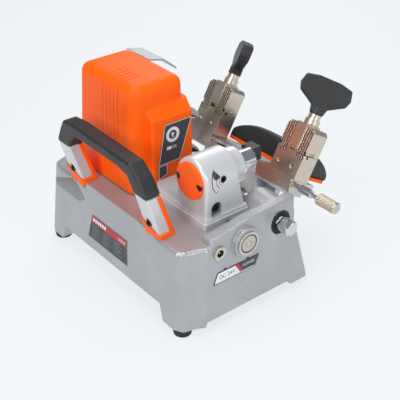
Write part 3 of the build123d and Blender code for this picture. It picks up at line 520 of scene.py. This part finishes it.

# painted shade: black strips laid in the grooves of the jaws, standing in for the shadow inside the grooves

grooveShade = {
    "count": 4,
    "first": 8.6 * mm,
    "step": 3.0 * mm,
    "size": (1.2 * mm, 1.5 * mm, 25.0 * mm),     # across, deep, along the groove
    "faceIn": -15.65 * mm,                       # middle of the painted-shade strips, behind the jaw face
    "upperMiddle": 84.6 * mm,
    "lowerSize": (1.2 * mm, 1.5 * mm, 5.6 * mm),
    "lowerMiddle": 68.5 * mm,
    "viseX": (-95.0 * mm, 39.0 * mm),
    "pivot": (feetMiddle + Vector((0, shaftY, shaftZ))) * mm,
    "lean": viseLean,
}
tree, given = newTree("grooveShadeTree", {"count": "Int", "first": "Float", "step": "Float", "size": "Vector",
                                    "place": "Vector", "pivot": "Vector", "lean": "Vector"})
stick = addNode(tree, "GeometryNodeMeshCube", links={"Size": given["size"]}).outputs["Mesh"]
bothSides = addNode(tree, "GeometryNodeJoinGeometry")
for way in (1.0, -1.0):
    offsets = []
    for key in ("first", "step"):
        amount = addNode(tree, "ShaderNodeMath", {"operation": "MULTIPLY", 1: way}, {0: given[key]}).outputs[0]
        offsets.append(addNode(tree, "ShaderNodeCombineXYZ", links={0: amount}).outputs[0])
    line = addNode(tree, "GeometryNodeMeshLine", links={"Count": given["count"], "Start Location": offsets[0],
                                                        "Offset": offsets[1]}).outputs[0]
    row = addNode(tree, "GeometryNodeInstanceOnPoints", links={"Points": line, "Instance": stick}).outputs[0]
    tree.links.new(row, bothSides.inputs[0])
placed = addNode(tree, "GeometryNodeTransform", links={"Geometry": bothSides.outputs[0],
                                                       "Translation": given["place"]}).outputs[0]
leaned = addNode(tree, "GeometryNodeTransform", links={"Geometry": placed, "Translation": given["pivot"],
                                                       "Rotation": given["lean"]}).outputs[0]
endTree(tree, leaned, inkBlack)


def grooveShadeMesh(name, viseX, middle, size):
    return growMesh(name, tree, {"count": grooveShade["count"], "first": grooveShade["first"], "step": grooveShade["step"],
                                 "size": size, "place": (viseX, grooveShade["faceIn"], middle),
                                 "pivot": grooveShade["pivot"], "lean": (grooveShade["lean"], 0.0, 0.0)})


# black painted-shade strips in the upper jaw grooves and the lower carriage grooves of each vise
for side, viseX in zip(("left", "right"), grooveShade["viseX"]):
    upper = grooveShadeMesh(side + "UpperGrooveShade", viseX, grooveShade["upperMiddle"], grooveShade["size"])
    pieceFrom(side + "UpperGrooveShade", upper, side + "_jaw", inkBlack)
    lower = grooveShadeMesh(side + "LowerGrooveShade", viseX, grooveShade["lowerMiddle"], grooveShade["lowerSize"])
    pieceFrom(side + "LowerGrooveShade", lower, "carriage", inkBlack)
print("jaw groove painted shade made")

# painted shade: a black sheet on the floor of the recess round the head bolt, standing in for the shadow in the
# recess

wellPlane = labelPlane((-91.5, 17, 112.3), (0, -1, 0), (-1, 0, 0))
arch = [(-6.9, 0), (6.9, 0)] + [(6.9 * math.cos(math.radians(a)), 8.7 + 6.9 * math.sin(math.radians(a)))
                                for a in range(0, 181, 12)]
# the black sheet here is painted shade, not a colour of the casting
printOn("boltWellPaintedShade", [arch], wellPlane, inkBlack, (0.02, 0.3))

# palm rest: a soft moulded pad, crowned across and falling away at the cutter end

palmRest = {
    "across": [(-49, 48.2), (-49, 66), (-50.5, 73.4), (-58, 74), (-70, 71), (-80, 65), (-86.5, 58), (-88, 53),
               (-88, 48.2)],                       # mm, behind the shaft and up from it
    "stations": [(-100, 0.60), (-99, 0.86), (-90, 1.0), (-60, 1.0), (-20, 1.0), (0, 0.92), (18, 0.66),
                 (27.2, 0.42), (28, 0.26)],        # along the pad, share of the full height
    "low": 48.2,
}
shape = bmesh.new()
rings = []
for x, share in palmRest["stations"]:
    ring = []
    for n, d in palmRest["across"]:
        up = palmRest["low"] + (d - palmRest["low"]) * share
        y = shaftY + n * math.cos(viseLean) - up * math.sin(viseLean)
        z = shaftZ + n * math.sin(viseLean) + up * math.cos(viseLean)
        ring.append(shape.verts.new((feetMiddle + Vector((x, y, z))) * mm))
    rings.append(ring)
for a, b in zip(rings, rings[1:]):
    for i in range(len(a)):
        j = (i + 1) % len(a)
        shape.faces.new((a[i], a[j], b[j], b[i]))
for ring in (rings[0], rings[-1]):
    shape.faces.new(ring)
bmesh.ops.recalc_face_normals(shape, faces=shape.faces)
crease = shape.edges.layers.float.new("crease_edge")
for first, second in zip(rings, rings[1:]):
    for i in (0, -1):
        edge = shape.edges.get((first[i], second[i]))
        edge[crease] = 1.0
for ring in (rings[0], rings[-1]):
    edge = shape.edges.get((ring[0], ring[-1]))
    edge[crease] = 1.0
padMesh = bpy.data.meshes.new("palmRestPad")
shape.to_mesh(padMesh)
shape.free()
padSlot = slotOf["feed_pad"]
pad = pieceFrom("palmRestPad", padMesh, "carriage", finishes[padSlot], ["feed_pad"])
smooth = pad.modifiers.new("smooth", "SUBSURF")
smooth.levels = smooth.render_levels = 2
for polygon in padMesh.polygons:
    polygon.use_smooth = True
print("palm rest made")

# floor
floorMaterial, floorShader = newMaterial("palePaper", {"Roughness": 0.85})
floorShader.inputs["Base Color"].default_value = hexColour("#6C6E70")
floorShader.inputs["Emission Color"].default_value = hexColour("#F3F6F8")
floorShader.inputs["Emission Strength"].default_value = 0.8
bpy.ops.mesh.primitive_plane_add(size=12)
floor = bpy.context.object
floor.name = "floorSheet"
floor.data.materials.append(floorMaterial)
